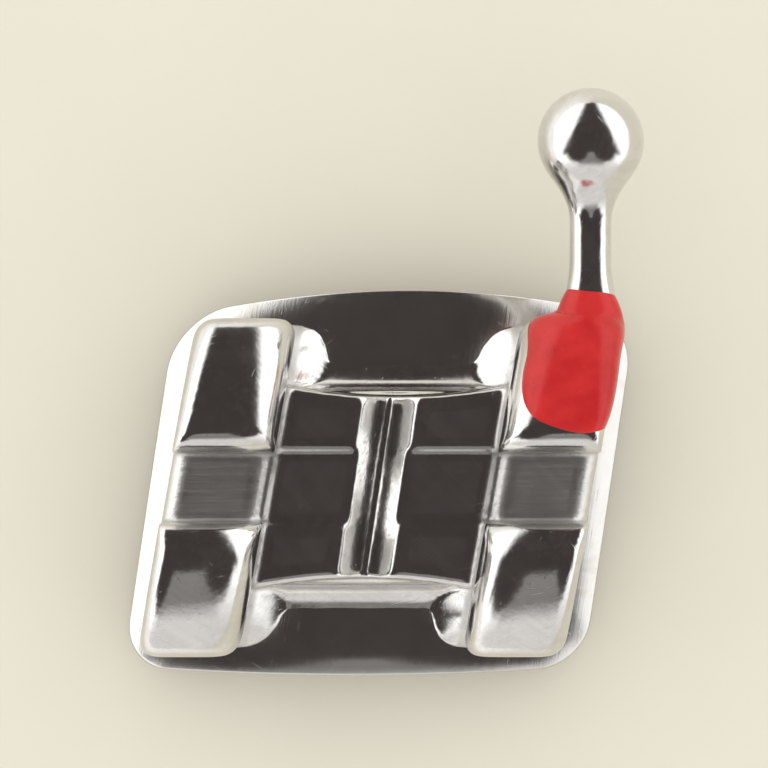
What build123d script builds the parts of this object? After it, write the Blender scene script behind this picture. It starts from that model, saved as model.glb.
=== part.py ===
from build123d import *
import math
import os

# A twin edgewise orthodontic bracket with a ball hook, for an upper left canine.
# Millimetres. X runs along the slot and points distally, Y points to the gum and
# Z points away from the tooth. Each piece is built on a tooth surface that passes
# through the origin, and all are then lifted to stand on the rim of the base.

# Archwire slot, .022 by .028 inch
SLOT_HEIGHT = 0.559
SLOT_DEPTH = 0.711
SLOT_LEAD = 0.14
SLOT_END = 0.12

# Twin body, seen from the front
BODY_WIDTH = 3.42
WING_WIDTH = 0.82
WING_SPAN = 2.72
WING_EDGE = 0.18
TIP_ANGLE = 10.0

# Tie wings and undercuts, seen from the side
IN_OUT = 0.85
WING_LAND = 0.41
WING_DROP = 0.40
WING_TIP = 0.38
WING_BACK_RADIUS = 1.50
WING_TIP_RADIUS = 0.19
UNDERCUT_RISE = 0.07
UNDERCUT_RADIUS = 0.25
UNDERCUT_DEPTH = 0.58
FOOT_COVE = 0.24
FOOT_RIM = 0.03

# Bridge between the wings, with the groove that marks the long axis of the tooth
BRIDGE_RISE = 0.02
BRIDGE_RELIEF = 0.04
BRIDGE_OVERHANG = 0.08
BRIDGE_SCALLOP = 0.13
BRIDGE_EDGE = 0.06
SCRIBE_WIDTH = 0.38
SCRIBE_DEPTH = 0.10

# Bonding base, a foil pad with a wire gauze of 80 wires to the inch
BASE_WIDTH = 3.78
BASE_TO_GUM = 1.60
BASE_TO_EDGE = 1.54
BASE_SLANT = 8.5
GUM_BOW = 0.22
GUM_CORNER = 0.55
EDGE_BOW = 0.06
EDGE_CORNER = 0.40
CROWN_RADIUS_ACROSS = 3.9
CROWN_RADIUS_ALONG = 11.0
FOIL_THICKNESS = 0.11
WIRE_DIAMETER = 0.11
WIRE_PRESS = 0.02
WIRE_PITCH = 25.4 / 80

# Ball hook on the distal gingival wing
HOOK_BALL = 0.86
HOOK_POST = 0.34
HOOK_REACH = 1.42
HOOK_LEAN = 6.0
HOOK_OFFSET = 0.145
HOOK_FLARE = 0.45
HOOK_FILLET = 0.06

# Colour mark on the wing that has the hook
MARK_THICKNESS = 0.05
MARK_WIDTH = 0.70
MARK_OFFSET = 0.10
MARK_MARGIN = 0.01
MARK_OVERRUN = 0.24

# Values that follow from the sizes above
GAUZE_THICKNESS = 2 * WIRE_DIAMETER - WIRE_PRESS
BASE_THICKNESS = GAUZE_THICKNESS + FOIL_THICKNESS
WAIST = WING_SPAN - 2 * UNDERCUT_DEPTH
BRIDGE_SPAN = WAIST + 2 * BRIDGE_OVERHANG
CHANNEL_WIDTH = BODY_WIDTH - 2 * WING_WIDTH
WING_MIDDLE = (BODY_WIDTH - WING_WIDTH) / 2
WING_TOP = IN_OUT + SLOT_DEPTH
BRIDGE_TOP = IN_OUT + BRIDGE_RISE
TIP_TOP = WING_TOP - WING_DROP
TIP_BOTTOM = TIP_TOP - WING_TIP
REACH = BODY_WIDTH / 2


def slanted(x, y, angle=TIP_ANGLE):
    """A point of the plan, moved along the slot as the plan leans."""
    return (x + y * math.tan(math.radians(angle)), y)


def prism(plan, bottom, top):
    """A plan outline made solid between two levels."""
    return extrude(Pos(0, 0, bottom) * plan, top - bottom)


def along_slot(section):
    """A side section made solid along the slot, past both ends of the body."""
    return extrude(Plane.YZ * section, BODY_WIDTH, both=True)


def tooth(growth):
    """The tooth's crown, curved in both directions, leaning as the tooth does and grown outwards."""
    ring_radius = CROWN_RADIUS_ALONG - CROWN_RADIUS_ACROSS
    crown = Torus(ring_radius, CROWN_RADIUS_ACROSS + growth)
    return Rot(0, 0, -TIP_ANGLE) * Pos(0, 0, -CROWN_RADIUS_ALONG) * Rot(0, 90, 0) * crown


def base_plan():
    """The rhomboid outline of the base with bowed ends and rounded corners."""
    side = BASE_WIDTH / 2
    gum_left = slanted(-side, BASE_TO_GUM - GUM_BOW, BASE_SLANT)
    gum_right = slanted(side, BASE_TO_GUM - GUM_BOW, BASE_SLANT)
    edge_left = slanted(-side, EDGE_BOW - BASE_TO_EDGE, BASE_SLANT)
    edge_right = slanted(side, EDGE_BOW - BASE_TO_EDGE, BASE_SLANT)
    rim = [
        ThreePointArc(edge_left, slanted(0, -BASE_TO_EDGE, BASE_SLANT), edge_right),
        Line(edge_right, gum_right),
        ThreePointArc(gum_right, slanted(0, BASE_TO_GUM, BASE_SLANT), gum_left),
        Line(gum_left, edge_left),
    ]
    plan = make_face(Curve() + rim)
    plan = fillet(plan.vertices().filter_by(lambda corner: corner.Y > 0), GUM_CORNER)
    return fillet(plan.vertices().filter_by(lambda corner: corner.Y < 0), EDGE_CORNER)


def base_layer(inner, outer):
    """One layer of the base between two growths of the tooth."""
    block = prism(base_plan(), -REACH, REACH)
    return (block & tooth(outer)) - tooth(inner)


def make_foil():
    """The stamped foil pad on the back of the gauze."""
    return base_layer(GAUZE_THICKNESS, BASE_THICKNESS)


def wire_gaps(turn):
    """Slabs that stand for the gaps between parallel wires."""
    far = BASE_WIDTH + BASE_TO_GUM + BASE_TO_EDGE
    gap = Box(WIRE_PITCH - WIRE_DIAMETER, far, far)
    count = math.ceil(far / 2 / WIRE_PITCH)
    return [Rot(0, 0, turn) * Pos(row * WIRE_PITCH, 0, 0) * gap for row in range(-count, count + 1)]


def make_gauze():
    """The wire gauze as two pressed rows of wires, one across the other."""
    lower = base_layer(0, WIRE_DIAMETER) - wire_gaps(90)
    upper = base_layer(GAUZE_THICKNESS - WIRE_DIAMETER, GAUZE_THICKNESS) - wire_gaps(0)
    gauze = lower + upper
    return gauze.solids().sort_by(SortBy.VOLUME)[-1]


def wing_section():
    """Side view of a column of two tie wings on its waist, without the slot."""
    tip = WING_SPAN / 2
    waist = WAIST / 2
    gum_side = [
        (WING_LAND, WING_TOP),
        (tip, TIP_TOP),
        (tip, TIP_BOTTOM),
        (waist, TIP_BOTTOM + UNDERCUT_RISE),
        (waist, -REACH),
    ]
    gum_radii = [WING_BACK_RADIUS, WING_TIP_RADIUS, WING_TIP_RADIUS, UNDERCUT_RADIUS, 0]
    biting_side = [(-y, z) for y, z in reversed(gum_side)]
    radii = gum_radii + gum_radii[::-1]
    return make_face(FilletPolyline(gum_side + biting_side, radius=radii, close=True))


def slot_cut(floor, mouth, lead):
    """The slot from its floor up to its mouth, with bevelled lips."""
    half = SLOT_HEIGHT / 2
    lips = half + lead
    above = mouth + SLOT_DEPTH
    outline = [
        (half, floor),
        (half, mouth - lead),
        (lips, mouth),
        (lips, above),
    ]
    mirrored = [(-y, z) for y, z in reversed(outline)]
    return along_slot(make_face(Polyline(outline + mirrored, close=True)))


def wing_plan(middle, width, low, high):
    """The slanted plan of a column of wings between two places along Y."""
    left = middle - width / 2
    right = middle + width / 2
    corners = [slanted(left, low), slanted(right, low), slanted(right, high), slanted(left, high)]
    return make_face(Polyline(corners, close=True))


def plain_wings(middle):
    """One column of wings with sharp sides and no slot."""
    plan = wing_plan(middle, WING_WIDTH, -WING_SPAN, WING_SPAN)
    return along_slot(wing_section()) & prism(plan, -REACH, WING_TOP + REACH)


def make_wings(middle):
    """One column of wings with rounded sides and the slot."""
    wings = plain_wings(middle)
    sides = [face for face in wings.faces() if abs(face.normal_at().X) > 0.5]
    rims = [edge for side in sides for edge in side.edges()]
    edges = [edge for edge in rims if edge.center().Z > WING_EDGE - REACH]
    wings = fillet(edges, WING_EDGE) - slot_cut(IN_OUT, WING_TOP, SLOT_LEAD)
    floor = wings.faces().filter_by(Plane.XY).sort_by(Axis.Z)
    floor = [face for face in floor if abs(face.center().Z - IN_OUT) < SLOT_LEAD]
    ends = [edge for face in floor for edge in face.edges() if abs(edge.center().Y) < SLOT_LEAD]
    return fillet(ends, SLOT_END)


def make_bridge():
    """The bridge between the wings, scalloped at both ends and scribed."""
    side = CHANNEL_WIDTH / 2 + WING_EDGE
    end = BRIDGE_SPAN / 2
    scallop = end - BRIDGE_SCALLOP
    rim = [
        ThreePointArc(slanted(-side, -end), slanted(0, -scallop), slanted(side, -end)),
        Line(slanted(side, -end), slanted(side, end)),
        ThreePointArc(slanted(side, end), slanted(0, scallop), slanted(-side, end)),
        Line(slanted(-side, end), slanted(-side, -end)),
    ]
    bridge = prism(make_face(Curve() + rim), -REACH, BRIDGE_TOP)
    ends = bridge.edges().filter_by(GeomType.CIRCLE).group_by(Axis.Z)[-1]
    bridge = fillet(ends, BRIDGE_EDGE)
    return bridge - slot_cut(IN_OUT - BRIDGE_RELIEF, BRIDGE_TOP, BRIDGE_RELIEF) - scribe_cut()


def scribe_cut():
    """The groove along the long axis of the tooth."""
    level = BRIDGE_TOP + SCRIBE_DEPTH
    groove = [(-SCRIBE_WIDTH, level), (SCRIBE_WIDTH, level), (0, BRIDGE_TOP - SCRIBE_DEPTH)]
    section = make_face(Polyline(groove, close=True))
    return Rot(0, 0, -BASE_SLANT) * extrude(Plane.XZ * section, BRIDGE_SPAN, both=True)


def make_foot():
    """The coves that carry the waist out onto the pad, turned about the crown."""
    wall = WAIST / 2
    toe = wall + FOOT_COVE
    pad = BASE_THICKNESS + FOOT_RIM
    middle = (toe - FOOT_COVE * math.sqrt(0.5), pad + FOOT_COVE - FOOT_COVE * math.sqrt(0.5))
    cove = [ThreePointArc((toe, pad), middle, (wall, pad + FOOT_COVE))]
    cove.append(Polyline((wall, pad + FOOT_COVE), (0, pad + FOOT_COVE), (0, 0), (toe, 0), (toe, pad)))
    half = make_face(Curve() + cove)
    section = Plane.YZ * (half + mirror(half, Plane.YZ))
    crown_axis = Axis((0, 0, -CROWN_RADIUS_ACROSS), (0, 1, 0))
    turn = math.degrees(BODY_WIDTH / CROWN_RADIUS_ACROSS)
    ring = revolve(section.rotate(crown_axis, -turn / 2), crown_axis, turn)
    return ring & prism(wing_plan(0, BODY_WIDTH, -WING_SPAN, WING_SPAN), -REACH, REACH)


def make_hook():
    """The ball hook, flaring out of the tip of the distal gingival wing."""
    tip = WING_SPAN / 2
    root = (slanted(WING_MIDDLE + HOOK_OFFSET, tip)[0], tip, (TIP_TOP + TIP_BOTTOM) / 2)
    lean = math.radians(HOOK_LEAN)
    axis = Plane(origin=root, x_dir=(1, 0, 0), z_dir=(0, math.cos(lean), math.sin(lean)))
    post = HOOK_POST / 2
    wide = WING_WIDTH / 2 - HOOK_OFFSET
    flare = loft(
        [
            Pos(0, 0, -WING_TIP_RADIUS) * Ellipse(wide, post),
            Pos(0, 0, HOOK_FLARE / 3) * Ellipse((wide + 2 * post) / 3, post),
            Pos(0, 0, HOOK_FLARE) * Circle(post),
        ]
    )
    neck = Pos(0, 0, HOOK_FLARE) * extrude(Circle(post), HOOK_REACH - HOOK_FLARE)
    ball = Pos(0, 0, HOOK_REACH) * Sphere(HOOK_BALL / 2)
    head = neck + ball
    rings = [edge for edge in head.edges().filter_by(GeomType.CIRCLE) if edge.is_closed]
    collar = max(rings, key=lambda ring: ring.center().Z)
    head = fillet(collar, HOOK_FILLET)
    return axis * (flare + head)


def make_body():
    """The moulded body: two columns of wings, the bridge, the foot and the hook."""
    columns = make_wings(-WING_MIDDLE) + make_wings(WING_MIDDLE)
    body = columns + make_bridge() + make_foot() + make_hook()
    return body - tooth(BASE_THICKNESS)


def make_mark():
    """The dab of paint over the back of the distal gingival wing and the root of its hook."""
    low = SLOT_HEIGHT / 2 + SLOT_LEAD + MARK_MARGIN
    high = WING_SPAN / 2 + MARK_OVERRUN
    centre = slanted(WING_MIDDLE + MARK_OFFSET, (low + high) / 2)
    dab = Pos(*centre) * Rot(0, 0, -TIP_ANGLE) * Ellipse(MARK_WIDTH / 2, (high - low) / 2)
    wing = make_wings(WING_MIDDLE) + make_hook()
    coat = Pos(0, 0, MARK_THICKNESS) * wing & prism(dab, TIP_BOTTOM + WING_TIP / 2, WING_TOP + REACH)
    return coat - wing


def main():
    os.makedirs("parts", exist_ok=True)
    pieces = {
        "bracket_body": make_body(),
        "base_foil": make_foil(),
        "retention_mesh": make_gauze(),
        "colour_mark": make_mark(),
    }
    lift = -pieces["retention_mesh"].bounding_box().min.Z
    for name, piece in pieces.items():
        export_step(Pos(0, 0, lift) * piece, f"parts/{name}.step")


main()
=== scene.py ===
import math

import bmesh
import bpy
from mathutils import Matrix, Vector


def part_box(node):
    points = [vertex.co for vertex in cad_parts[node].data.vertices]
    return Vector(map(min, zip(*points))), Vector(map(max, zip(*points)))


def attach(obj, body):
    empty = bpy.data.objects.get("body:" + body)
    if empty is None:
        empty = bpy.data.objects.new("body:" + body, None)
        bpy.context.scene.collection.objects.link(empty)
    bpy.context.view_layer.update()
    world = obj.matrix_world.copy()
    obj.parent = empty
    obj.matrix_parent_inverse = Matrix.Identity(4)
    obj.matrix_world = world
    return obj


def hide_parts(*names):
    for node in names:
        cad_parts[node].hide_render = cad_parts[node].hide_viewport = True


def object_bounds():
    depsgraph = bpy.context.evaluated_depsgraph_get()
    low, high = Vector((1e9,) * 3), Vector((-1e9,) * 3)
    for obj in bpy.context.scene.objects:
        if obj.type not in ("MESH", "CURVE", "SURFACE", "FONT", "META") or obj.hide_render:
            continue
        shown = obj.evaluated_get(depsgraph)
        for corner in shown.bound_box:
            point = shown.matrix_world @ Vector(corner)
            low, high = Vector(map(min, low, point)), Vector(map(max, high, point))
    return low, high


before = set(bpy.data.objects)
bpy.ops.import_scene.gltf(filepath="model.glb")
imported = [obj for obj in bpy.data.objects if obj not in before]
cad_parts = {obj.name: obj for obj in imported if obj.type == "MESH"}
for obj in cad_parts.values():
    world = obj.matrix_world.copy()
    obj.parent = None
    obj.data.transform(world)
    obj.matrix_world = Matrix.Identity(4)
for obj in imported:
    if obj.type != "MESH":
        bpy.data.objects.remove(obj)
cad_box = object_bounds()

# A twin edgewise bracket with a ball hook. Pieces are shaped in millimetres, where the tools
# work well, and brought down to metres when they are finished. X runs along the slot, Y points
# to the gum and Z away from the tooth.

MILLIMETRE = 0.001

# Sizes of the moulded body
SLOT_HEIGHT = 0.559
SLOT_DEPTH = 0.711
SLOT_LEAD = 0.20
GUM_LIP = 0.22
EDGE_LIP = 0.32
SLOT_END = 0.15
BODY_WIDTH = 3.42
WING_WIDTH = 0.82
WING_SPAN = 2.72
WING_EDGE = 0.18
WING_CROWN = 0.17
WING_WEAR_START = 0.35
TIP_ANGLE = 10.0
IN_OUT = 0.85
WING_LAND = 0.88
WING_DROP = 0.40
WING_TIP = 0.38
WING_BACK_RADIUS = 1.20
WING_TIP_RADIUS = 0.19
UNDERCUT_RISE = 0.07
UNDERCUT_RADIUS = 0.25
UNDERCUT_DEPTH = 0.58
FOOT_COVE = 0.24
FOOT_END = 0.30
FOOT_END_SHARE = 0.6
SKIRT_INWARDS = 0.35
SKIRT_UNDER = 0.40
SKIRT_TOE = 0.14
SKIRT_RISE = 0.26
SKIRT_HOLLOW = 1.2
SKIRT_SQUARENESS = 0.45
BRIDGE_RISE = 0.02
BRIDGE_RELIEF = 0.012
BRIDGE_GUTTER = 0.09
GUTTER_SPREAD = 0.06
BRIDGE_FLARE = 0.045
BRIDGE_OVERHANG = 0.08
BRIDGE_SCALLOP = 0.13
BRIDGE_EDGE = 0.06
SCRIBE_WIDTH = 0.44
SCRIBE_DEPTH = 0.17
SCRIBE_FLAT = 0.02
SCRIBE_OFFSET = -0.025
HOOK_BALL = 0.86
HOOK_POST = 0.34
HOOK_REACH = 1.42
HOOK_LEAN = 6.0
HOOK_OFFSET = 0.145
HOOK_FLARE = 0.45
HOOK_NECK = 0.175
HOOK_NECK_START = 0.22
HOOK_NECK_STEP = 0.05
HOOK_NECK_HOLLOW = 1.7

# Sizes of the base
BASE_WIDTH = 3.78
BASE_TO_GUM = 1.60
BASE_TO_EDGE = 1.54
BASE_SLANT = 8.5
GUM_BOW = 0.22
GUM_CORNER = 0.44
EDGE_BOW = 0.06
EDGE_CORNER = 0.38
CROWN_RADIUS_ACROSS = 3.9
CROWN_RADIUS_ALONG = 11.0
FOIL_THICKNESS = 0.11
FOIL_ROLL = 0.035
FOIL_EDGE = 0.03
WIRE_DIAMETER = 0.11
WIRE_PRESS = 0.02
WIRE_PITCH = 25.4 / 80
GAUZE_THICKNESS = 2 * WIRE_DIAMETER - WIRE_PRESS
BASE_THICKNESS = GAUZE_THICKNESS + FOIL_THICKNESS

# Levels, counted from the plane that the base stands on
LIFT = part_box("base_foil")[1][2] / MILLIMETRE - BASE_THICKNESS
SLOT_FLOOR = LIFT + IN_OUT
WING_TOP = SLOT_FLOOR + SLOT_DEPTH
BRIDGE_TOP = SLOT_FLOOR + BRIDGE_RISE
TIP_TOP = WING_TOP - WING_DROP
TIP_BOTTOM = TIP_TOP - WING_TIP
WAIST = WING_SPAN - 2 * UNDERCUT_DEPTH
BRIDGE_SPAN = WAIST + 2 * BRIDGE_OVERHANG
CHANNEL_WIDTH = BODY_WIDTH - 2 * WING_WIDTH
WING_MIDDLE = (BODY_WIDTH - WING_WIDTH) / 2
BED = -1.0
FOIL_SINK = 0.05

# Sizes of the dab of paint
PAINT_THICKNESS = 0.06
PAINT_SINK = 0.02
PAINT_BACK = 0.03
PAINT_HALF_WIDTH = 0.42
PAINT_WIDENING = 0.07
PAINT_OFFSET = 0.09
PAINT_FROM_SLOT = 0.12
PAINT_PAST_TIP = 0.27
PAINT_DOWN_TIP = 0.34
PAINT_SQUARENESS = 3.6

# Grain of the body's skin, and how many smoothing passes its parts get
BODY_GRAIN = 0.022
COLUMN_PASSES = 24
SKIN_PASSES = 2
TUMBLED_PASSES = 7
WORN_PASSES = 14
PAINT_PASSES = 18

# The studio, in metres
FLOOR_SIZE = 0.6
FLOOR_GAP = 0.00002
VIEW_WIDTH = 0.0061
LENS_LENGTH = 400


# Helpers for modelling


def begin(add, name, **settings):
    """Add a primitive with nothing else selected."""
    bpy.ops.object.select_all(action="DESELECT")
    add(**settings)
    piece = bpy.context.active_object
    piece.name = name
    return piece


def edit(piece):
    """Go into edit mode on one piece, with nothing in it selected."""
    bpy.ops.object.select_all(action="DESELECT")
    piece.select_set(True)
    bpy.context.view_layer.objects.active = piece
    bpy.ops.object.mode_set(mode="EDIT")
    bpy.ops.mesh.select_all(action="DESELECT")


def leave():
    """Go back to object mode."""
    bpy.ops.object.mode_set(mode="OBJECT")


def pick_edges(piece, test):
    """In edit mode, select only the edges whose two ends pass a test."""
    bpy.ops.mesh.select_mode(type="EDGE")
    bpy.ops.mesh.select_all(action="DESELECT")
    mesh = bmesh.from_edit_mesh(piece.data)
    for edge in mesh.edges:
        if test(edge.verts[0].co, edge.verts[1].co):
            edge.select_set(True)
    bmesh.update_edit_mesh(piece.data)


def pick_faces(piece, test):
    """In edit mode, select only the faces whose middle and normal pass a test."""
    bpy.ops.mesh.select_mode(type="FACE")
    bpy.ops.mesh.select_all(action="DESELECT")
    mesh = bmesh.from_edit_mesh(piece.data)
    for face in mesh.faces:
        if test(face.calc_center_median(), face.normal):
            face.select_set(True)
    bmesh.update_edit_mesh(piece.data)


def face_outwards(piece):
    """Turn every face of a closed piece outwards."""
    edit(piece)
    bpy.ops.mesh.select_all(action="SELECT")
    bpy.ops.mesh.normals_make_consistent(inside=False)
    leave()


def drawn_block(name, outline, push, steps=1):
    """A closed outline of points, filled and pushed out into a block in equal steps."""
    piece = begin(bpy.ops.mesh.primitive_circle_add, name, vertices=len(outline), fill_type="NGON")
    for point, place in zip(piece.data.vertices, outline):
        point.co = place
    edit(piece)
    bpy.ops.mesh.select_all(action="SELECT")
    stride = Vector(push) / steps
    for _ in range(steps):
        bpy.ops.mesh.extrude_region_move(TRANSFORM_OT_translate={"value": stride})
    leave()
    face_outwards(piece)
    return piece


def modify(piece, kind, **settings):
    """Add a modifier with its settings and apply it."""
    modifier = piece.modifiers.new(kind.lower(), kind)
    for name, value in settings.items():
        setattr(modifier, name, value)
    bpy.context.view_layer.objects.active = piece
    bpy.ops.object.modifier_apply(modifier=modifier.name)


def cut(piece, tool):
    """Take a tool's shape out of a piece and drop the tool."""
    modify(piece, "BOOLEAN", operation="DIFFERENCE", solver="EXACT", object=tool)
    bpy.data.objects.remove(tool)


def join(name, pieces):
    """Several pieces in one mesh."""
    bpy.ops.object.select_all(action="DESELECT")
    for piece in pieces:
        piece.select_set(True)
    bpy.context.view_layer.objects.active = pieces[0]
    bpy.ops.object.join()
    whole = bpy.context.active_object
    whole.name = name
    return whole


def duplicate(piece, name):
    """A copy of a piece with its own mesh."""
    copy = piece.copy()
    copy.data = piece.data.copy()
    copy.name = name
    bpy.context.collection.objects.link(copy)
    return copy


def move_points(piece, place):
    """Move every point of a piece to where a rule puts it."""
    for point in piece.data.vertices:
        point.co = place(point.co)
    piece.data.update()


def smooth(piece):
    """Shade a piece smoothly."""
    bpy.ops.object.select_all(action="DESELECT")
    piece.select_set(True)
    bpy.context.view_layer.objects.active = piece
    bpy.ops.object.shade_smooth()


def to_metres(piece):
    """Bring a piece down to its real size, about the origin."""
    edit(piece)
    bpy.ops.mesh.select_all(action="SELECT")
    bpy.ops.transform.resize(value=(MILLIMETRE,) * 3, center_override=(0, 0, 0))
    leave()


# Shapes that several pieces share


def slanted(x, y, angle=TIP_ANGLE):
    """A place in the plan, moved along the slot as the plan leans."""
    return x + y * math.tan(math.radians(angle))


def crown_height(x, y, growth):
    """Height of the tooth's crown, grown outwards, under a place in the plan."""
    lean = math.radians(TIP_ANGLE)
    across = x * math.cos(lean) - y * math.sin(lean)
    along = x * math.sin(lean) + y * math.cos(lean)
    ring = CROWN_RADIUS_ALONG - CROWN_RADIUS_ACROSS
    tube = CROWN_RADIUS_ACROSS + growth
    reach = ring + math.sqrt(tube**2 - across**2)
    return LIFT - CROWN_RADIUS_ALONG + math.sqrt(reach**2 - along**2)


def ease(low, high, value):
    """Rise smoothly from 0 to 1 between two values."""
    part = min(max((value - low) / (high - low), 0), 1)
    return part * part * (3 - 2 * part)


def slot_side(floor, mouth, lead, flare, bends):
    """One wall of the slot, seen from its end: floor, wall and a lip that flares out in a few bends."""
    half = SLOT_HEIGHT / 2
    side = [(half, floor)]
    for bend in range(bends + 1):
        turn = math.radians(90 * bend / bends)
        side.append((half + flare * (1 - math.cos(turn)), mouth - lead * (1 - math.sin(turn))))
    side.append((half + flare, mouth + SLOT_DEPTH))
    return side


def slot_tool(floor, gum_side, edge_side, width, fall):
    """The shape of the slot between two walls, with a floor that rounds off at its ends."""
    start = -0.7 * width
    outline = [(start, y, z) for y, z in gum_side] + [(start, -y, z) for y, z in reversed(edge_side)]
    tool = drawn_block("slot_tool", outline, (1.4 * width, 0, 0), steps=120)

    def rounded_off(point):
        past = min(max(abs(point.x) - width / 2 + fall, 0), fall)
        on_floor = point.z < floor + 0.001
        return point - Vector((0, 0, fall - math.sqrt(fall**2 - past**2))) if on_floor else point

    move_points(tool, rounded_off)
    return tool


def settle_on_pad(piece):
    """Lift the points that lie under the pad's face to just inside the foil."""

    def lifted(point):
        bed = crown_height(point.x, point.y, BASE_THICKNESS - FOIL_SINK)
        return Vector((point.x, point.y, max(point.z, bed)))

    move_points(piece, lifted)


def lay_on_pad(piece):
    """Lean a piece that was drawn on a flat plan, and lay it over the pad's face."""

    def laid(point):
        x = slanted(point.x, point.y)
        return Vector((x, point.y, crown_height(x, point.y, BASE_THICKNESS) + point.z))

    move_points(piece, laid)


# The moulded body


def round_edge(piece, y, z, radius, turn):
    """Round the edges along X at a place of the side view, on both sides of the slot."""
    offset = radius * math.tan(math.radians(turn) / 2)

    def here(a, b):
        along = abs(a.x - b.x) > WING_WIDTH / 2
        return along and abs(abs(a.y) - y) < 0.001 and abs(a.z - z) < 0.001

    pick_edges(piece, here)
    bpy.ops.mesh.bevel(offset=offset, segments=7, affect="EDGES")


def wing_column():
    """One column of two tie wings on its waist, rounded all over and then slotted."""
    tip = WING_SPAN / 2
    waist = WAIST / 2
    roof = TIP_BOTTOM + UNDERCUT_RISE
    side = [(WING_LAND, WING_TOP), (tip, TIP_TOP), (tip, TIP_BOTTOM), (waist, roof), (waist, BED)]
    near = -WING_WIDTH / 2
    outline = [(near, y, z) for y, z in side] + [(near, -y, z) for y, z in reversed(side)]
    column = drawn_block("wing_column", outline, (WING_WIDTH, 0, 0))
    fall = math.degrees(math.atan2(WING_DROP, tip - WING_LAND))
    back = 90 + math.degrees(math.atan2(UNDERCUT_RISE, UNDERCUT_DEPTH))
    edit(column)
    round_edge(column, WING_LAND, WING_TOP, WING_BACK_RADIUS, fall)
    round_edge(column, tip, TIP_TOP, WING_TIP_RADIUS, 90 - fall)
    round_edge(column, tip, TIP_BOTTOM, WING_TIP_RADIUS, back)
    round_edge(column, waist, roof, UNDERCUT_RADIUS, back)

    def rim(a, b):
        flat = abs(a.x - b.x) < 0.001 and abs(abs(a.x) - WING_WIDTH / 2) < 0.001
        return flat and max(a.z, b.z) > BED + 0.001

    pick_edges(column, rim)
    bpy.ops.mesh.bevel(offset=0.8 * WING_EDGE, segments=6, affect="EDGES")
    leave()
    modify(column, "REMESH", mode="VOXEL", voxel_size=BODY_GRAIN, adaptivity=0)
    modify(column, "SMOOTH", factor=0.5, iterations=COLUMN_PASSES)
    gum_side = slot_side(SLOT_FLOOR, WING_TOP, SLOT_LEAD, GUM_LIP, 8)
    edge_side = slot_side(SLOT_FLOOR, WING_TOP, SLOT_LEAD, EDGE_LIP, 8)
    cut(column, slot_tool(SLOT_FLOOR, gum_side, edge_side, WING_WIDTH, SLOT_END))
    return column


def placed_column(pattern, middle):
    """A copy of the column at its place beside the channel, worn down to the channel and set on the pad."""
    column = duplicate(pattern, "wing_column")

    def placed(point):
        from_outside = 0.5 - math.copysign(point.x, point.x * middle) / WING_WIDTH
        inwards = max(0, from_outside - WING_WEAR_START) / (1 - WING_WEAR_START)
        drop = WING_CROWN * inwards**3 * ease(TIP_BOTTOM + 0.05, TIP_TOP + 0.05, point.z)
        return Vector((slanted(point.x + middle, point.y), point.y, point.z - drop))

    move_points(column, placed)
    settle_on_pad(column)
    return column


def scribe_tool():
    """The shape of the groove along the tooth's long axis."""
    high = BRIDGE_TOP + SCRIBE_DEPTH
    low = BRIDGE_TOP - SCRIBE_DEPTH
    start = -BRIDGE_SPAN
    section = ((-SCRIBE_WIDTH, high), (SCRIBE_WIDTH, high), (SCRIBE_FLAT, low), (-SCRIBE_FLAT, low))
    outline = [(x, start, z) for x, z in section]
    tool = drawn_block("scribe_tool", outline, (0, 2 * BRIDGE_SPAN, 0))
    tool.data.transform(Matrix.Rotation(math.radians(-BASE_SLANT), 4, "Z"))
    tool.data.transform(Matrix.Translation((SCRIBE_OFFSET, 0, 0)))
    return tool


def bridge():
    """The bridge between the columns, scalloped at both ends, slotted and scribed."""
    side = CHANNEL_WIDTH / 2 + WING_EDGE
    end = BRIDGE_SPAN / 2
    radius = (side**2 + BRIDGE_SCALLOP**2) / (2 * BRIDGE_SCALLOP)
    swing = math.asin(side / radius)
    steps = 20
    arc = []
    for step in range(steps + 1):
        turn = swing * (2 * step / steps - 1)
        arc.append((radius * math.sin(turn), end - BRIDGE_SCALLOP + radius * (1 - math.cos(turn))))
    plan = arc + [(-x, -y) for x, y in arc]
    block = drawn_block("bridge", [(x, y, BED) for x, y in plan], (0, 0, BRIDGE_TOP - BED))
    edit(block)
    pick_edges(block, lambda a, b: min(a.z, b.z) > BRIDGE_TOP - 0.001 and abs(a.x - b.x) > 0.01)
    bpy.ops.mesh.bevel(offset=BRIDGE_EDGE, segments=5, affect="EDGES")
    leave()
    low = SLOT_FLOOR - BRIDGE_RELIEF
    wall = slot_side(low, BRIDGE_TOP, 0.9 * (BRIDGE_TOP - low), BRIDGE_FLARE, 1)
    cut(block, slot_tool(low, wall, wall, CHANNEL_WIDTH + GUTTER_SPREAD, BRIDGE_GUTTER))
    move_points(block, lambda point: Vector((slanted(point.x, point.y), point.y, point.z)))
    cut(block, scribe_tool())
    settle_on_pad(block)
    return block


def foot():
    """The coves that carry the waist out onto the pad, laid over the crown."""
    wall = WAIST / 2
    toe = wall + FOOT_COVE
    cove = [(toe, -FOIL_SINK)]
    steps = 9
    for step in range(steps + 1):
        turn = math.radians(90 * step / steps)
        cove.append((toe - FOOT_COVE * math.sin(turn), FOOT_COVE * (1 - math.cos(turn)) - 0.004))
    start = -BODY_WIDTH / 2
    outline = [(start, y, z) for y, z in cove] + [(start, -y, z) for y, z in reversed(cove)]
    block = drawn_block("foot", outline, (BODY_WIDTH, 0, 0), steps=90)

    def drawn_in(point):
        past = min(max(0, abs(point.x) - BODY_WIDTH / 2 + FOOT_END) / FOOT_END, 1)
        share = FOOT_END_SHARE + (1 - FOOT_END_SHARE) * math.sqrt(1 - past**2)
        return Vector((point.x, point.y * share, point.z))

    move_points(block, drawn_in)
    lay_on_pad(block)
    return block


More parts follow.
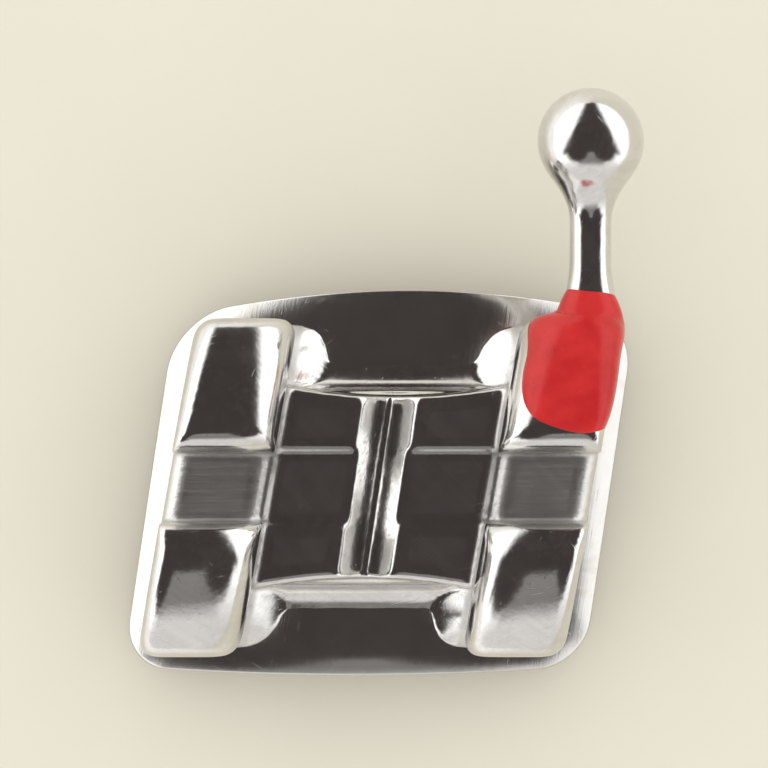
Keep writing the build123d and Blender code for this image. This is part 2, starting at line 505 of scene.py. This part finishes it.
def skirt(middle):
    """The flare at the foot of one column, sloping down to the channel and out under both wings."""
    inwards = -math.copysign(1, middle)
    outside = -inwards * BODY_WIDTH / 2
    wide = WING_WIDTH + SKIRT_INWARDS
    long = WAIST / 2 + SKIRT_UNDER + SKIRT_TOE
    block = begin(bpy.ops.mesh.primitive_circle_add, "skirt", vertices=72, radius=1, fill_type="NGON")

    def squared(point):
        x, y = (math.copysign(abs(part) ** SKIRT_SQUARENESS, part) for part in (point.x, point.y))
        return Vector((outside + inwards * wide * (1 + x) / 2, long * y, -FOIL_SINK))

    move_points(block, squared)
    edit(block)
    bpy.ops.mesh.select_all(action="SELECT")
    level = -FOIL_SINK
    steps = 10
    for step in range(steps + 1):
        height = SKIRT_RISE * (step / steps) ** SKIRT_HOLLOW
        spread = 1 - step / steps
        bpy.ops.mesh.extrude_region_move(TRANSFORM_OT_translate={"value": (0, 0, height - level)})
        wider = WING_WIDTH + SKIRT_INWARDS * spread
        longer = WAIST / 2 + SKIRT_UNDER + SKIRT_TOE * spread
        stretch = (wider / wide, longer / long, 1)
        bpy.ops.transform.resize(value=stretch, center_override=(outside, 0, height))
        level, wide, long = height, wider, longer
    leave()
    face_outwards(block)
    lay_on_pad(block)
    return block


def hook():
    """The ball hook: a flare out of the wing's tip, a post, a neck that widens, and a ball."""
    post = HOOK_POST / 2
    wide = WING_WIDTH / 2 - HOOK_OFFSET
    ball = HOOK_BALL / 2
    neck = HOOK_REACH - math.sqrt(ball**2 - post**2)
    rings = []
    steps = 12
    for step in range(steps + 1):
        part = step / steps
        height = -WING_TIP_RADIUS + part * (HOOK_FLARE + WING_TIP_RADIUS)
        rings.append((height, wide + (post - wide) * ease(0, 1, part), post))
    steps = 7
    for step in range(steps + 1):
        flare = HOOK_NECK * (step / steps) ** HOOK_NECK_HOLLOW
        rings.append((neck - HOOK_NECK_START + HOOK_NECK_STEP * step, post + flare, post + flare))
    rod = begin(bpy.ops.mesh.primitive_circle_add, "hook", vertices=40, radius=1, fill_type="NGON")
    edit(rod)
    bpy.ops.mesh.select_all(action="SELECT")
    level, across, deep = rings[0]
    bpy.ops.transform.resize(value=(across, deep, 1), center_override=(0, 0, 0))
    bpy.ops.transform.translate(value=(0, 0, level))
    for height, wider, deeper in rings[1:]:
        bpy.ops.mesh.extrude_region_move(TRANSFORM_OT_translate={"value": (0, 0, height - level)})
        bpy.ops.transform.resize(value=(wider / across, deeper / deep, 1), center_override=(0, 0, height))
        level, across, deep = height, wider, deeper
    leave()
    face_outwards(rod)
    add_ball = bpy.ops.mesh.primitive_uv_sphere_add
    place = (0, 0, HOOK_REACH)
    head = begin(add_ball, "hook_ball", segments=64, ring_count=40, radius=ball, location=place)
    head.data.transform(head.matrix_basis)
    head.matrix_basis = Matrix()
    rod = join("hook", [rod, head])
    lean = math.radians(HOOK_LEAN)
    tip = WING_SPAN / 2
    root = Vector((slanted(WING_MIDDLE + HOOK_OFFSET, tip), tip, (TIP_TOP + TIP_BOTTOM) / 2))
    turned = Matrix(((1, 0, 0), (0, math.sin(lean), math.cos(lean)), (0, -math.cos(lean), math.sin(lean))))
    move_points(rod, lambda point: turned @ point + root)
    return rod


def moulded_body():
    """All of the body fused into one skin, with the soft edges of a tumbled casting."""
    pattern = wing_column()
    columns = [placed_column(pattern, middle) for middle in (-WING_MIDDLE, WING_MIDDLE)]
    bpy.data.objects.remove(pattern)
    skirts = [skirt(middle) for middle in (-WING_MIDDLE, WING_MIDDLE)]
    body = join("tumbled_body", columns + skirts + [bridge(), foot(), hook()])
    modify(body, "REMESH", mode="VOXEL", voxel_size=BODY_GRAIN, adaptivity=0)
    settle_on_pad(body)
    tumbled = body.vertex_groups.new(name="tumbled")
    worn = body.vertex_groups.new(name="worn")
    lip = SLOT_HEIGHT / 2
    for point in body.data.vertices:
        outside = ease(lip + 0.01, lip + 0.08, abs(point.co.y))
        above = ease(WING_TOP - 0.12, WING_TOP - 0.02, point.co.z)
        from_scribe = abs(slanted(point.co.x, -point.co.y, BASE_SLANT))
        scribed = 1 - ease(SCRIBE_WIDTH / 2, SCRIBE_WIDTH / 2 + 0.1, from_scribe)
        tumbled.add([point.index], max(outside, above, scribed), "REPLACE")
        high = ease(TIP_BOTTOM + 0.02, TIP_BOTTOM + 0.15, point.co.z)
        worn.add([point.index], high * ease(lip + 0.05, lip + GUM_LIP, abs(point.co.y)), "REPLACE")
    modify(body, "SMOOTH", factor=0.5, iterations=SKIN_PASSES)
    modify(body, "SMOOTH", factor=0.5, iterations=TUMBLED_PASSES, vertex_group="tumbled")
    modify(body, "SMOOTH", factor=0.5, iterations=WORN_PASSES, vertex_group="worn")
    body.vertex_groups.clear()
    smooth(body)
    return body


# The bonding base


def base_outline():
    """The rim of the pad: a leaning rectangle with rounded corners and bowed ends."""
    side = BASE_WIDTH / 2
    gum = BASE_TO_GUM - GUM_BOW
    edge = EDGE_BOW - BASE_TO_EDGE
    plate = begin(bpy.ops.mesh.primitive_plane_add, "pad_foil", size=2)
    move_points(plate, lambda point: Vector((side * point.x, gum if point.y > 0 else edge, 0)))
    edit(plate)
    for is_gum, rounding in ((True, GUM_CORNER), (False, EDGE_CORNER)):
        bpy.ops.mesh.select_mode(type="VERT")
        bpy.ops.mesh.select_all(action="DESELECT")
        mesh = bmesh.from_edit_mesh(plate.data)
        for corner in mesh.verts:
            at_corner = abs(abs(corner.co.x) - side) < 0.001
            if at_corner and (corner.co.y > gum - 0.001 if is_gum else corner.co.y < edge + 0.001):
                corner.select_set(True)
        bmesh.update_edit_mesh(plate.data)
        bpy.ops.mesh.bevel(offset=rounding, segments=12, affect="VERTICES")
    pick_edges(plate, lambda a, b: (a - b).length > 1)
    bpy.ops.mesh.subdivide(number_cuts=27)
    leave()

    def bowed(point):
        inside = 1 - (point.x / side) ** 2
        y = point.y + (GUM_BOW if point.y > 0 else -EDGE_BOW) * inside * ease(0, 0.9, abs(point.y))
        return Vector((slanted(point.x, y, BASE_SLANT), y, 0))

    move_points(plate, bowed)
    return plate


def drop_back_face(plate):
    """Delete the one large face left behind by the first push, and face the sheet upwards."""
    edit(plate)
    bpy.ops.mesh.select_mode(type="FACE")
    mesh = bmesh.from_edit_mesh(plate.data)
    for face in mesh.faces:
        face.select_set(len(face.verts) > 4)
    bmesh.update_edit_mesh(plate.data)
    bpy.ops.mesh.delete(type="ONLY_FACE")
    bpy.ops.mesh.select_all(action="SELECT")
    bpy.ops.mesh.normals_make_consistent(inside=False)
    leave()
    if sum(face.normal.z for face in plate.data.polygons) < 0:
        plate.data.flip_normals()


def pad_foil():
    """The stamped foil, curved to the crown both ways, with a rolled-over rim."""
    plate = base_outline()
    edit(plate)
    bpy.ops.mesh.select_mode(type="FACE")
    bpy.ops.mesh.select_all(action="SELECT")
    scale = 1
    rise = 0
    for wanted in (0.985, 0.965, 0.94, 0.91, 0.875, 0.83, 0.77, 0.69, 0.59, 0.47, 0.36, 0.24, 0.12):
        climb = FOIL_ROLL * (1 - max(0, (wanted - 0.875) / 0.125) ** 2) - rise
        bpy.ops.mesh.extrude_region_move(TRANSFORM_OT_translate={"value": (0, 0, climb)})
        bpy.ops.transform.resize(value=(wanted / scale, wanted / scale, 1), center_override=(0, 0, 0))
        scale = wanted
        rise = rise + climb
    bpy.ops.mesh.poke()
    leave()
    drop_back_face(plate)

    def draped(point):
        face = crown_height(point.x, point.y, BASE_THICKNESS)
        return Vector((point.x, point.y, face + point.z - FOIL_ROLL))

    move_points(plate, draped)
    modify(plate, "SOLIDIFY", thickness=FOIL_THICKNESS, offset=-1)
    modify(plate, "BEVEL", width=FOIL_EDGE, segments=4, limit_method="ANGLE", angle_limit=math.radians(40))
    smooth(plate)
    return plate


def rim_points(plate):
    """The pad's outline as a list of places, in order."""
    edges = plate.data.edges
    ends = {}
    for edge in edges:
        a, b = edge.vertices
        ends.setdefault(a, []).append(b)
        ends.setdefault(b, []).append(a)
    start = 0
    order = [start]
    last = None
    while True:
        here = order[-1]
        ways = [step for step in ends[here] if step != last]
        last = here
        if ways[0] == start:
            break
        order.append(ways[0])
    return [plate.data.vertices[index].co.copy() for index in order]


def reach_inside(rim, place, along_x):
    """Where a straight wire at a place enters and leaves the outline."""
    hits = []
    for first, second in zip(rim, rim[1:] + rim[:1]):
        a, b = (first.y, second.y) if along_x else (first.x, second.x)
        if (a - place) * (b - place) <= 0 and a != b:
            hit = first.lerp(second, (place - a) / (b - a))
            hits.append(hit.x if along_x else hit.y)
    return (min(hits), max(hits)) if len(hits) > 1 else None


def straight_wire():
    """One wire, a unit long, with enough rings to be bent."""
    radius = WIRE_DIAMETER / 2
    outline = []
    for step in range(12):
        turn = math.radians(30 * step + 15)
        outline.append((0, radius * math.cos(turn), radius * math.sin(turn)))
    return drawn_block("wire", outline, (1, 0, 0), steps=96)


def woven_gauze(rim):
    """A plain weave of round wires, pressed to the crown and cut off at the pad's rim."""
    pattern = straight_wire()
    sway = (GAUZE_THICKNESS - WIRE_DIAMETER) / 2
    count = math.ceil(BASE_WIDTH / WIRE_PITCH)
    wires = []
    for along_x in (True, False):
        for row in range(-count, count + 1):
            place = row * WIRE_PITCH
            flanks = (place - 0.8 * WIRE_DIAMETER, place + 0.8 * WIRE_DIAMETER)
            reaches = [reach_inside(rim, flank, along_x) for flank in flanks]
            if None in reaches:
                continue
            low = max(reach[0] for reach in reaches) + WIRE_PRESS
            high = min(reach[1] for reach in reaches) - WIRE_PRESS
            if high - low < 2 * WIRE_PITCH:
                continue
            wire = duplicate(pattern, "wire")

            def woven(point):
                run = low + (high - low) * point.x
                wave = math.cos(math.pi * run / WIRE_PITCH) * (1 if row % 2 == 0 else -1)
                growth = GAUZE_THICKNESS / 2 + point.z + sway * (wave if along_x else -wave)
                x, y = (run, place + point.y) if along_x else (place + point.y, run)
                return Vector((x, y, crown_height(x, y, growth)))

            move_points(wire, woven)
            wires.append(wire)
    bpy.data.objects.remove(pattern)
    gauze = join("woven_gauze", wires)
    face_outwards(gauze)
    bpy.ops.object.select_all(action="DESELECT")
    gauze.select_set(True)
    bpy.ops.object.shade_smooth_by_angle(angle=math.radians(50))
    return gauze


# The colour mark


def keep_largest(piece):
    """Drop loose crumbs, so that one connected sheet is left."""
    mesh = bmesh.new()
    mesh.from_mesh(piece.data)
    left = set(mesh.verts)
    groups = []
    while left:
        group = {left.pop()}
        front = list(group)
        while front:
            for edge in front.pop().link_edges:
                for end in edge.verts:
                    if end in left:
                        left.remove(end)
                        group.add(end)
                        front.append(end)
        groups.append(group)
    groups.sort(key=len)
    crumbs = [point for group in groups[:-1] for point in group]
    bmesh.ops.delete(mesh, geom=crumbs, context="VERTS")
    mesh.to_mesh(piece.data)
    mesh.free()


def paint_reach(point):
    """How far out a place lies in the dab: 0 in its middle, 1 at its rim."""
    low = SLOT_HEIGHT / 2 + PAINT_FROM_SLOT
    high = WING_SPAN / 2 + PAINT_PAST_TIP
    middle_y = (low + high) / 2
    middle_x = slanted(WING_MIDDLE + PAINT_OFFSET, middle_y)
    lean = math.radians(TIP_ANGLE)
    x = point.x - middle_x
    y = point.y - middle_y
    half_width = PAINT_HALF_WIDTH + PAINT_WIDENING * ease(0, 0.35, y)
    across = (x * math.cos(lean) - y * math.sin(lean)) / half_width
    along = (x * math.sin(lean) + y * math.cos(lean)) / ((high - low) / 2)
    down = max(0, TIP_TOP - point.z) / PAINT_DOWN_TIP
    turn = math.atan2(along, across)
    uneven = 1 + 0.03 * math.sin(3 * turn + 0.7) + 0.02 * math.sin(5 * turn)
    reach = sum(abs(part) ** PAINT_SQUARENESS for part in (across, along, down))
    return reach ** (1 / PAINT_SQUARENESS) * uneven


def paint_dab(body):
    """The dab of paint, a film that swells out of the wing's own surface and tapers at its rim."""
    dab = duplicate(body, "paint_dab")

    def unpainted(place):
        return paint_reach(place) > 1.12 or place.z < TIP_BOTTOM

    edit(dab)
    pick_faces(dab, lambda middle, normal: unpainted(middle) or normal.z < -0.2)
    bpy.ops.mesh.delete(type="FACE")
    leave()
    keep_largest(dab)
    modify(dab, "SMOOTH", factor=0.5, iterations=PAINT_PASSES)
    film = dab.vertex_groups.new(name="film")
    for point in dab.data.vertices:
        film.add([point.index], max(0, 1 - paint_reach(point.co) ** 4), "REPLACE")
    modify(dab, "DISPLACE", strength=PAINT_THICKNESS + PAINT_SINK, mid_level=0, vertex_group="film")
    modify(dab, "DISPLACE", strength=-PAINT_SINK, mid_level=0)
    dab.vertex_groups.clear()
    modify(dab, "SMOOTH", factor=0.5, iterations=SKIN_PASSES)
    modify(dab, "SOLIDIFY", thickness=PAINT_BACK, offset=-1)
    smooth(dab)
    return dab


# Finishes


class Reading:
    """A value that varies over a surface. Sums on readings add Math nodes to the material."""

    def __init__(self, tree, socket=None):
        self.tree = tree
        self.socket = socket

    def node(self, kind, settings, inputs, output=0):
        """Add a node: its settings are set first, then the values or links of its sockets."""
        made = self.tree.nodes.new(kind)
        for name, value in settings.items():
            setattr(made, name, value)
        for name, value in inputs.items():
            if isinstance(value, Reading):
                self.tree.links.new(value.socket, made.inputs[name])
            else:
                made.inputs[name].default_value = value
        return Reading(self.tree, made.outputs[output])

    def sum(self, operation, first, second=0.0):
        """One Math node on two values."""
        return self.node("ShaderNodeMath", {"operation": operation}, {0: first, 1: second})

    def __add__(self, other):
        return self.sum("ADD", self, other)

    def __radd__(self, other):
        return self.sum("ADD", other, self)

    def __sub__(self, other):
        return self.sum("SUBTRACT", self, other)

    def __rsub__(self, other):
        return self.sum("SUBTRACT", other, self)

    def __mul__(self, other):
        return self.sum("MULTIPLY", self, other)

    def __rmul__(self, other):
        return self.sum("MULTIPLY", other, self)

    def __truediv__(self, other):
        return self.sum("DIVIDE", self, other)

    def __rtruediv__(self, other):
        return self.sum("DIVIDE", other, self)

    def __pow__(self, other):
        return self.sum("POWER", self, other)

    def __abs__(self):
        return self.sum("ABSOLUTE", self)

    def between(self, low, high):
        """0 below one value, 1 above another, and a smooth rise from the one to the other."""
        ends = {"Value": self, "From Min": low, "From Max": high, "To Min": 0.0, "To Max": 1.0}
        return self.node("ShaderNodeMapRange", {"interpolation_type": "SMOOTHSTEP"}, ends)


def new_material(name):
    """An empty material, its shader and a reading to build on."""
    material = bpy.data.materials.new(name)
    material.use_nodes = True
    tree = material.node_tree
    shader = next(node for node in tree.nodes if node.type == "BSDF_PRINCIPLED")
    return material, shader, Reading(tree)


def feed(shader, name, value):
    """Set a socket of a shader, or link a reading to it."""
    if isinstance(value, Reading):
        value.tree.links.new(value.socket, shader.inputs[name])
    else:
        shader.inputs[name].default_value = value


def in_millimetres(start):
    """The place on the piece, in millimetres."""
    place = start.node("ShaderNodeTexCoord", {}, {}, "Object")
    return start.node("ShaderNodeVectorMath", {"operation": "SCALE"}, {0: place, "Scale": 1 / MILLIMETRE})


def parts_of(vector):
    """The three numbers of a vector."""
    apart = vector.node("ShaderNodeSeparateXYZ", {}, {"Vector": vector})
    node = apart.socket.node
    return [Reading(vector.tree, node.outputs[index]) for index in range(3)]


def stretched(place, turn, sizes):
    """A place measured along a direction turned about Z, in steps of the given sizes, for streaks."""
    settings = {"Vector": place, "Rotation": (0, 0, math.radians(turn)), "Scale": sizes}
    return place.node("ShaderNodeMapping", {"vector_type": "TEXTURE"}, settings)


def noise(place, scale, detail=3.0, roughness=0.5):
    """Cloudy noise around one half."""
    settings = {"Vector": place, "Scale": scale, "Detail": detail, "Roughness": roughness}
    return place.node("ShaderNodeTexNoise", {}, settings)


def blend(share, first, second):
    """A colour between two colours."""
    return share.node("ShaderNodeMix", {"data_type": "RGBA"}, {0: share, 6: first, 7: second}, 2)


def bump(height, distance, normal=None):
    """Fine relief, its depth given in millimetres."""
    inputs = {"Height": height, "Strength": 1.0, "Distance": distance * MILLIMETRE}
    if normal is not None:
        inputs["Normal"] = normal
    return height.node("ShaderNodeBump", {}, inputs)


def hairlines(place, turns):
    """Thin scratches in a few directions, 1 on a scratch and 0 beside it."""
    marks = None
    for turn in turns:
        lines = noise(stretched(place, turn, (0.30, 0.016, 0.03)), 1.0, 1.0).between(0.72, 0.80)
        marks = lines if marks is None else marks + lines
    return marks


def polished_steel():
    """Tumbled and polished stainless, with a ground slot floor, a satin cast skin in the recesses and
    painted shade that darkens its hollows.
    """
    material, shader, start = new_material("polished_steel")
    place = in_millimetres(start)
    x, y, z = parts_of(place)
    clouds = noise(place, 5.0, 4.0)
    grain = noise(place, 42.0, 2.0)
    scratches = hairlines(place, (12, 67, 128))
    in_slot = 1 - abs(y).between(SLOT_HEIGHT / 2 - 0.005, SLOT_HEIGHT / 2 + 0.03)
    in_slot = in_slot * (1 - z.between(WING_TOP - 0.15, WING_TOP - 0.05))
    in_slot = in_slot * z.between(SLOT_FLOOR - SLOT_END - 0.06, SLOT_FLOOR - SLOT_END + 0.03)
    from_middle = abs(x - y * math.tan(math.radians(TIP_ANGLE)))
    in_slot = in_slot * from_middle.between(CHANNEL_WIDTH / 2 - 0.02, CHANNEL_WIDTH / 2 + 0.04)
    inner = 1 - from_middle.between(CHANNEL_WIDTH / 2 + 0.03, CHANNEL_WIDTH / 2 + 0.08)
    inner = inner * (1 - z.between(TIP_TOP - 0.12, TIP_TOP - 0.02))
    under = start.sum("MAXIMUM", inner, 1 - z.between(TIP_BOTTOM + 0.02, TIP_BOTTOM + 0.16))
    satin = under * (1 - in_slot) * from_middle.between(CHANNEL_WIDTH / 2 - 0.07, CHANNEL_WIDTH / 2 - 0.01)
    streaks = noise(stretched(place, 0, (0.7, 0.022, 0.022)), 1.0, 3.0, 0.6)
    bend = start.node("ShaderNodeNewGeometry", {}, {}, "Pointiness")
    # Concave places found by Pointiness: painted shade darkens their colour, and their roughness rises.
    shaded_hollow = 1 - bend.between(0.42, 0.50)
    worn = bend.between(0.50, 0.60)
    bright = blend(clouds, (0.60, 0.585, 0.57, 1), (0.70, 0.69, 0.68, 1))
    # Painted shade: the hollows are darkened to a brownish grey in the base colour.
    skin = blend(shaded_hollow * 0.7, bright, (0.30, 0.27, 0.245, 1))
    skin = blend(worn * 0.5, skin, (0.80, 0.79, 0.78, 1))
    skin = blend(in_slot * streaks * 0.5, skin, (0.82, 0.82, 0.82, 1))
    roughness = 0.09 + clouds * 0.10 + scratches * 0.05 + shaded_hollow * 0.12 + satin * 0.34
    roughness = roughness + in_slot * (0.16 + streaks * 0.2)
    relief = bump(grain * 0.3 + clouds * 3.0 - scratches * 0.5, 0.0008)
    relief = bump(streaks * in_slot, 0.005, relief)
    feed(shader, "Base Color", skin)
    feed(shader, "Metallic", 1.0)
    feed(shader, "Roughness", roughness)
    feed(shader, "Normal", relief)
    return material


def foil_steel():
    """Rolled stainless foil, with fine lines along the rolling direction and heat tint near the braze."""
    material, shader, start = new_material("foil_steel")
    place = in_millimetres(start)
    clouds = noise(place, 4.0, 4.0)
    rolled = noise(stretched(place, 90 - BASE_SLANT, (0.6, 0.022, 0.05)), 1.0, 3.0, 0.6)
    scratches = hairlines(place, (35, 80, 150))
    bright = blend(clouds, (0.56, 0.54, 0.52, 1), (0.69, 0.68, 0.67, 1))
    skin = blend(clouds.between(0.52, 0.70) * 0.35, bright, (0.46, 0.40, 0.33, 1))
    relief = bump(rolled + clouds * 2.0 - scratches * 0.5, 0.0007)
    feed(shader, "Base Color", skin)
    feed(shader, "Metallic", 1.0)
    feed(shader, "Roughness", 0.11 + clouds * 0.10 + rolled * 0.06 + scratches * 0.05)
    feed(shader, "Normal", relief)
    return material


def wire_steel():
    """Dull drawn wire, browned by brazing in cloudy blotches."""
    material, shader, start = new_material("wire_steel")
    place = in_millimetres(start)
    clouds = noise(place, 7.0, 4.0)
    grain = noise(place, 60.0, 2.0)
    blotches = noise(place, 2.0, 2.0).between(0.42, 0.62)
    bright = blend(clouds, (0.44, 0.425, 0.41, 1), (0.58, 0.57, 0.56, 1))
    skin = blend(blotches * 0.45, bright, (0.40, 0.34, 0.27, 1))
    feed(shader, "Base Color", skin)
    feed(shader, "Metallic", 1.0)
    feed(shader, "Roughness", 0.26 + clouds * 0.14 + grain * 0.10)
    feed(shader, "Normal", bump(grain + clouds, 0.003))
    return material


def red_paint():
    """Glossy red paint, deeper in cloudy patches, on a film that thins towards its rim."""
    material, shader, start = new_material("red_paint")
    place = in_millimetres(start)
    clouds = noise(place, 3.0, 3.0)
    fine = noise(place, 30.0, 2.0)
    skin = blend(clouds.between(0.35, 0.65), (0.54, 0.012, 0.014, 1), (0.66, 0.024, 0.024, 1))
    skin = blend(fine.between(0.55, 0.75) * 0.2, skin, (0.42, 0.008, 0.010, 1))
    feed(shader, "Base Color", skin)
    feed(shader, "Roughness", 0.22 + clouds * 0.14)
    feed(shader, "Specular IOR Level", 0.28)
    feed(shader, "Coat Weight", 0.15)
    feed(shader, "Coat Roughness", 0.08)
    feed(shader, "Normal", bump(clouds * 2.0 + fine * 0.3, 0.004))
    return material


def pale_card():
    """The pale floor, with the faintest mottle. In mirrors its left side glows as a lit table does."""
    material, shader, start = new_material("pale_card")
    place = in_millimetres(start)
    mottle = noise(place, 0.6, 4.0)
    feed(shader, "Base Color", blend(mottle, (0.82, 0.78, 0.66, 1), (0.87, 0.83, 0.70, 1)))
    feed(shader, "Roughness", 0.7)
    x, y, _ = parts_of(place)
    in_mirror = start.node("ShaderNodeLightPath", {}, {}, "Is Glossy Ray")
    away = ((x * x + y * y) ** 0.5).between(2.5, 8.0)
    glow = in_mirror * away * (1 - x.between(-6.0, 6.0))
    feed(shader, "Emission Color", blend(glow, (0, 0, 0, 1), (0.42, 0.44, 0.50, 1)))
    feed(shader, "Emission Strength", 1.0)
    return material


def dress(piece, material, node):
    """Finish a piece: its size, its material and what it stands for."""
    to_metres(piece)
    piece.data.materials.clear()
    piece.data.materials.append(material)
    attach(piece, "root")
    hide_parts(node)


# The studio


def floor():
    """A wide pale floor just under the base."""
    ground = begin(bpy.ops.mesh.primitive_plane_add, "floor", size=FLOOR_SIZE, location=(0, 0, -FLOOR_GAP))
    ground.data.materials.append(pale_card())


def light_tent():
    """A white tent all round. Mirrors see a dark opening in it, overhead and towards the gum side."""
    world = bpy.data.worlds.new("light_tent")
    bpy.context.scene.world = world
    world.use_nodes = True
    tree = world.node_tree
    sky = next(node for node in tree.nodes if node.type == "BACKGROUND")
    start = Reading(tree)
    direction = start.node("ShaderNodeTexCoord", {}, {}, "Generated")
    x, y, z = parts_of(direction)
    spread = (2.0 * (z + 1.001)) ** 0.5
    across = abs(x / spread)
    along = y / spread
    past_flank = across - (0.92 - along) * 0.47
    cone = (1 - past_flank.between(-0.05, 0.05)) * (along + 0.26).between(-0.04, 0.04)
    cone = cone * (1 - (along - 0.78).between(-0.04, 0.04))
    from_lobe = ((across - 0.25) * (across - 0.25) + (along + 0.19) * (along + 0.19)) ** 0.5
    lobe = 1 - from_lobe.between(0.18, 0.26)
    foot_of_cone = 0.85 * (1 - across.between(0.20, 0.30)) * (along + 0.45).between(-0.07, 0.07)
    foot_of_cone = foot_of_cone * (1 - along.between(-0.26, -0.18))
    opening = start.sum("MAXIMUM", start.sum("MAXIMUM", cone, lobe), foot_of_cone)
    tent = blend(x.between(-1.0, 1.0), (1.95, 1.94, 1.90, 1), (1.62, 1.62, 1.60, 1))
    tent = blend(1 - along.between(-0.55, -0.25), tent, (0.92, 0.90, 0.88, 1))
    mirrored = blend(opening, tent, (0.058, 0.048, 0.046, 1))
    in_mirror = start.node("ShaderNodeLightPath", {}, {}, "Is Glossy Ray")
    feed(sky, "Color", blend(in_mirror, (1.04, 1.03, 1.01, 1), mirrored))
    feed(sky, "Strength", 1.0)


def camera():
    """A long lens straight above the bracket."""
    low, high = cad_box
    middle = [(a + b) / 2 for a, b in zip(low, high)]
    lens = bpy.data.cameras.new("camera")
    lens.lens = LENS_LENGTH
    lens.clip_start = 0.001
    lens.clip_end = 10
    view = bpy.data.objects.new("camera", lens)
    bpy.context.collection.objects.link(view)
    view.location = (middle[0], middle[1], high[2] + VIEW_WIDTH * lens.lens / lens.sensor_width)
    bpy.context.scene.camera = view


def main():
    bpy.context.scene.view_settings.view_transform = "Standard"
    camera()
    floor()
    light_tent()
    outline = base_outline()
    rim = rim_points(outline)
    bpy.data.objects.remove(outline)
    body = moulded_body()
    dab = paint_dab(body)
    foil = pad_foil()
    gauze = woven_gauze(rim)
    dress(body, polished_steel(), "bracket_body")
    dress(foil, foil_steel(), "base_foil")
    dress(gauze, wire_steel(), "retention_mesh")
    dress(dab, red_paint(), "colour_mark")


main()
